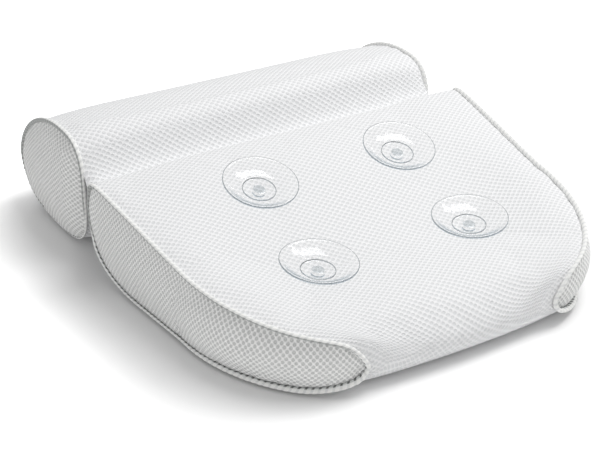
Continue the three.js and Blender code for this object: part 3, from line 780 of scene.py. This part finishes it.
def cup_profile():
    """Radius and height along the cup, from the tip of its stud, out along the skirt, over the rim and back
    down the bowl to the nub."""
    floor = cup_seat_gap + cup_floor_thickness
    ledge = floor + cup_floor_step
    rim = floor + cup_depth
    lip = cup_rim_radius - cup_lip_width
    skirt = bezier(
        (cup_seat_radius, cup_seat_gap),
        (cup_floor_radius + cup_flare, floor - cup_floor_step),
        (cup_rim_radius - cup_flare, rim - cup_flare),
        (cup_rim_radius, rim - cup_rim_thickness))
    bowl = bezier(
        (lip, rim),
        (lip - cup_flare, rim - cup_flare + cup_rim_thickness),
        (cup_floor_radius + cup_flare, ledge),
        (cup_floor_radius, ledge))
    stud_tip = stud_head_top - stud_head_height
    stud = [
        (0, stud_tip),
        (stud_head_radius - stud_head_chamfer, stud_tip),
        (stud_head_radius, stud_head_top),
        (stud_radius, stud_head_top),
        (stud_radius, cup_seat_gap)]
    nub_top = floor + cup_nub_height
    nub_edge = cup_nub_radius - cup_nub_height
    sunk_floor = [
        (cup_floor_radius, floor),
        (cup_floor_radius - cup_crisp_edge, floor),
        (cup_nub_radius + cup_crisp_edge, floor),
        (cup_nub_radius, floor),
        (nub_edge, nub_top),
        (nub_edge - cup_crisp_edge, nub_top),
        (0, nub_top)]
    return np.concatenate([stud, skirt, [(cup_rim_radius, rim)], bowl, sunk_floor])


def cup_points(seat, axis, turns=96):
    """The profile turned round the cup's axis, which stands square to the mesh at its seat."""
    profile = cup_profile()
    turn = np.linspace(0, 2 * math.pi, turns + 1)
    up = np.array(axis) / np.linalg.norm(axis)
    side = np.cross([0.0, 1.0, 0.0], up)
    side /= np.linalg.norm(side)
    front = np.cross(up, side)
    ring = np.cos(turn)[:, None] * side + np.sin(turn)[:, None] * front
    ring[-1] = ring[0]
    points = np.array(seat) + profile[:, :1, None] * ring + profile[:, 1:, None] * up
    uv = np.stack(np.broadcast_arrays(turn * cup_rim_radius, arc_length(profile)[:, None]), axis=-1)
    return points, uv


# Clear soft PVC: thin and glossy, so that the mesh is seen through it unbent. It takes a grey-blue tint
# where it is looked at edge on, and mirrors more there. Grey lines of painted shade run along its rim and
# the step round its floor, and the step is painted darker still on the side that faces a fixed direction.
# The thick nub over the stud is greyer, and light passes through to the mesh.
rim_row = stud_rows + curve_rows
step_row = rim_row + 1 + curve_rows
cup_run = arc_length(cup_profile()).tolist()
# Painted shade: the floor step is painted dark where its normal faces this fixed direction.
painted_shade_facing = (0.4, -0.9, 0.0)
clear_pvc = bpy.data.materials.new("clear_soft_pvc")
clear_pvc.use_nodes = True
tree = clear_pvc.node_tree
tree.nodes.remove(tree.nodes["Principled BSDF"])
uv = add(tree, "ShaderNodeUVMap", uv_map="UVMap")
parts = add(tree, "ShaderNodeSeparateXYZ", {"Vector": uv.outputs["UV"]})
climb = parts.outputs["Y"]
# Painted shade: grey lines painted along the rim and the step round the floor.
rim = add(tree, "ShaderNodeMath", {0: climb, 1: cup_run[rim_row], 2: cup_line_width}, operation="COMPARE")
step = add(tree, "ShaderNodeMath", {0: climb, 1: cup_run[step_row], 2: cup_line_width}, operation="COMPARE")
painted_shade_line = add(tree, "ShaderNodeMath", {0: rim.outputs["Value"], 1: step.outputs["Value"]}, operation="MAXIMUM")
nub = add(tree, "ShaderNodeMath", {0: climb, 1: cup_run[-1] - cup_nub_radius}, operation="GREATER_THAN")
surface_side = add(tree, "ShaderNodeNewGeometry")
facing = add(tree, "ShaderNodeVectorMath", {0: surface_side.outputs["Normal"], 1: painted_shade_facing},
             operation="DOT_PRODUCT")
painted_shade_side = add(tree, "ShaderNodeMapRange", {
    "Value": facing.outputs["Value"], "From Min": 0.3, "From Max": 0.6})
painted_shade_arc = add(tree, "ShaderNodeMath", {0: painted_shade_side.outputs["Result"], 1: step.outputs["Value"]},
               operation="MULTIPLY")
edge = add(tree, "ShaderNodeLayerWeight", {"Blend": 0.5})
grazing = add(tree, "ShaderNodeMapRange", {
    "Value": edge.outputs["Facing"], "From Min": 0.60, "From Max": 0.97}, interpolation_type="SMOOTHSTEP")
tint = mixed(tree, grazing.outputs["Result"], "#fefefe", "#c2ccd3")
tint = mixed(tree, nub.outputs["Value"], tint, "#dde1e3")
tint = mixed(tree, painted_shade_line.outputs["Value"], tint, "#a9afb3")
tint = mixed(tree, painted_shade_arc.outputs["Value"], tint, "#6a6f72")
clear = add(tree, "ShaderNodeBsdfTransparent", {"Color": tint})
gloss = add(tree, "ShaderNodeBsdfGlossy", {"Color": (1, 1, 1, 1), "Roughness": 0.06})
mirror = add(tree, "ShaderNodeFresnel", {"IOR": 1.45})
outside = add(tree, "ShaderNodeMath", {0: 1.0, 1: surface_side.outputs["Backfacing"]}, operation="SUBTRACT")
shine = add(tree, "ShaderNodeMath", {
    0: mirror.outputs["Fac"], 1: outside.outputs["Value"]}, operation="MULTIPLY")
seen_pvc = add(tree, "ShaderNodeMixShader", {
    0: shine.outputs["Value"], 1: clear.outputs["BSDF"], 2: gloss.outputs["BSDF"]})
ray = add(tree, "ShaderNodeLightPath")
open_to_light = add(tree, "ShaderNodeBsdfTransparent", {"Color": (1, 1, 1, 1)})
surface = add(tree, "ShaderNodeMixShader", {
    0: ray.outputs["Is Shadow Ray"], 1: seen_pvc.outputs["Shader"], 2: open_to_light.outputs["BSDF"]})
tree.links.new(surface.outputs["Shader"], tree.nodes["Material Output"].inputs["Surface"])

for joint in cup_joints:
    node = joint["child"]
    points, uv = cup_points(joint["pos_m"], joint["axis"])
    cup = place(f"{node}_clear", surface_mesh(f"{node}_clear", [(points, uv, True, 0)]), clear_pvc)
    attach(cup, node)
    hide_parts(node)


# Backing washers. A flat ring inside the cover, over each stud's head, holds the stud in the open mesh. They
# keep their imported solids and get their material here: satin white polypropylene with a fine moulded grain.
grains_per_metre = 900.0
washer_plastic = bpy.data.materials.new("satin_polypropylene")
washer_plastic.use_nodes = True
tree = washer_plastic.node_tree
shader = tree.nodes["Principled BSDF"]
spot = add(tree, "ShaderNodeTexCoord")
grain = add(tree, "ShaderNodeTexNoise", {
    "Vector": spot.outputs["Object"], "Scale": grains_per_metre, "Detail": 2.0})
bump = add(tree, "ShaderNodeBump", {"Height": grain.outputs["Fac"], "Strength": 0.2, "Distance": 0.0002})
tree.links.new(bump.outputs["Normal"], shader.inputs["Normal"])
shader.inputs["Base Color"].default_value = linear("#ededea")
shader.inputs["Roughness"].default_value = 0.45
for name, node in frame["nodes"].items():
    if name.startswith("washer_"):
        node.data.materials.clear()
        node.data.materials.append(washer_plastic)


# Studio. A pale floor keeps the shadow and fades to white outside the pillow's plan. A large soft lamp hangs
# above to the right, a small one lower on the right gives the cups highlights, and a weak low one from the
# left front lifts the shaded side. White light comes from all round. The camera has the photograph's angle.
floor_half_size = 4.0
near_floor = 0.19
far_floor = 0.30
light_all_round = 0.47
background_light = 1.0
lamp_aim = Vector((0, -0.03, 0.05))
camera_place = (-0.5649, -0.9014, 0.5740)
camera_tilt = 90 - 27.57
camera_turn = -31.56
camera_lens = 89.7


def seen_share(tree):
    """1 for what the camera sees, straight on, mirrored or through clear plastic, and 0 for other rays."""
    ray = add(tree, "ShaderNodeLightPath")
    mirrored = add(tree, "ShaderNodeMath", {
        0: ray.outputs["Is Camera Ray"], 1: ray.outputs["Is Glossy Ray"]}, operation="MAXIMUM")
    passed = add(tree, "ShaderNodeMath", {
        0: mirrored.outputs["Value"], 1: ray.outputs["Is Transmission Ray"]}, operation="MAXIMUM")
    return passed.outputs["Value"]


# White paper: matt, and lit up to pure white from near_floor to far_floor out. The distance is the fourth
# root of x^4 + y^4, a rounded box like the pillow's plan.
paper = bpy.data.materials.new("white_paper")
paper.use_nodes = True
tree = paper.node_tree
shader = tree.nodes["Principled BSDF"]
spot = add(tree, "ShaderNodeTexCoord")
squares = add(tree, "ShaderNodeVectorMath", {0: spot.outputs["Object"], 1: spot.outputs["Object"]},
              operation="MULTIPLY")
root = add(tree, "ShaderNodeVectorMath", {0: squares.outputs["Vector"]}, operation="LENGTH")
away = add(tree, "ShaderNodeMath", {0: root.outputs["Value"]}, operation="SQRT")
far = add(tree, "ShaderNodeMapRange", {
    "Value": away.outputs["Value"], "From Min": near_floor, "From Max": far_floor},
    interpolation_type="SMOOTHSTEP")
white = add(tree, "ShaderNodeMath", {0: far.outputs["Result"], 1: seen_share(tree)}, operation="MULTIPLY")
tree.links.new(white.outputs["Value"], shader.inputs["Emission Strength"])
shader.inputs["Emission Color"].default_value = (1, 1, 1, 1)
shader.inputs["Base Color"].default_value = linear("#f8f8f8")
shader.inputs["Roughness"].default_value = 1.0
shader.inputs["Specular IOR Level"].default_value = 0.0
half = floor_half_size
floor_mesh = bpy.data.meshes.new("floor")
floor_corners = [(-half, -half, 0), (half, -half, 0), (half, half, 0), (-half, half, 0)]
floor_mesh.from_pydata(floor_corners, [], [(0, 1, 2, 3)])
floor = place("floor", floor_mesh, paper)

world = bpy.data.worlds.new("studio")
world.use_nodes = True
bpy.context.scene.world = world
tree = world.node_tree
background = tree.nodes["Background"]
strength = add(tree, "ShaderNodeMix", {
    "Factor": seen_share(tree), "A": light_all_round, "B": background_light}, data_type="FLOAT")
background.inputs["Color"].default_value = (1, 1, 1, 1)
tree.links.new(strength.outputs["Result"], background.inputs["Strength"])

for name, lamp_place, width, height, watts in (
        ("soft_lamp", (0.62, -0.12, 1.85), 1.1, 1.1, 19.2),
        ("window_lamp", (1.25, -0.25, 1.45), 0.50, 0.70, 5.4),
        ("fill_lamp", (-1.40, -0.70, 0.22), 1.20, 0.35, 2.1)):
    lamp_data = bpy.data.lights.new(name, "AREA")
    lamp_data.shape = "RECTANGLE"
    lamp_data.size = width
    lamp_data.size_y = height
    lamp_data.energy = watts
    lamp = bpy.data.objects.new(name, lamp_data)
    lamp.location = lamp_place
    lamp.rotation_euler = (lamp_aim - lamp.location).to_track_quat("-Z", "Y").to_euler()
    bpy.context.scene.collection.objects.link(lamp)

camera_data = bpy.data.cameras.new("camera")
camera_data.sensor_width = 36
camera_data.lens = camera_lens
camera = bpy.data.objects.new("camera", camera_data)
camera.location = camera_place
camera.rotation_euler = (math.radians(camera_tilt), 0, math.radians(camera_turn))
bpy.context.scene.collection.objects.link(camera)
bpy.context.scene.camera = camera
bpy.context.scene.view_settings.view_transform = "Standard"
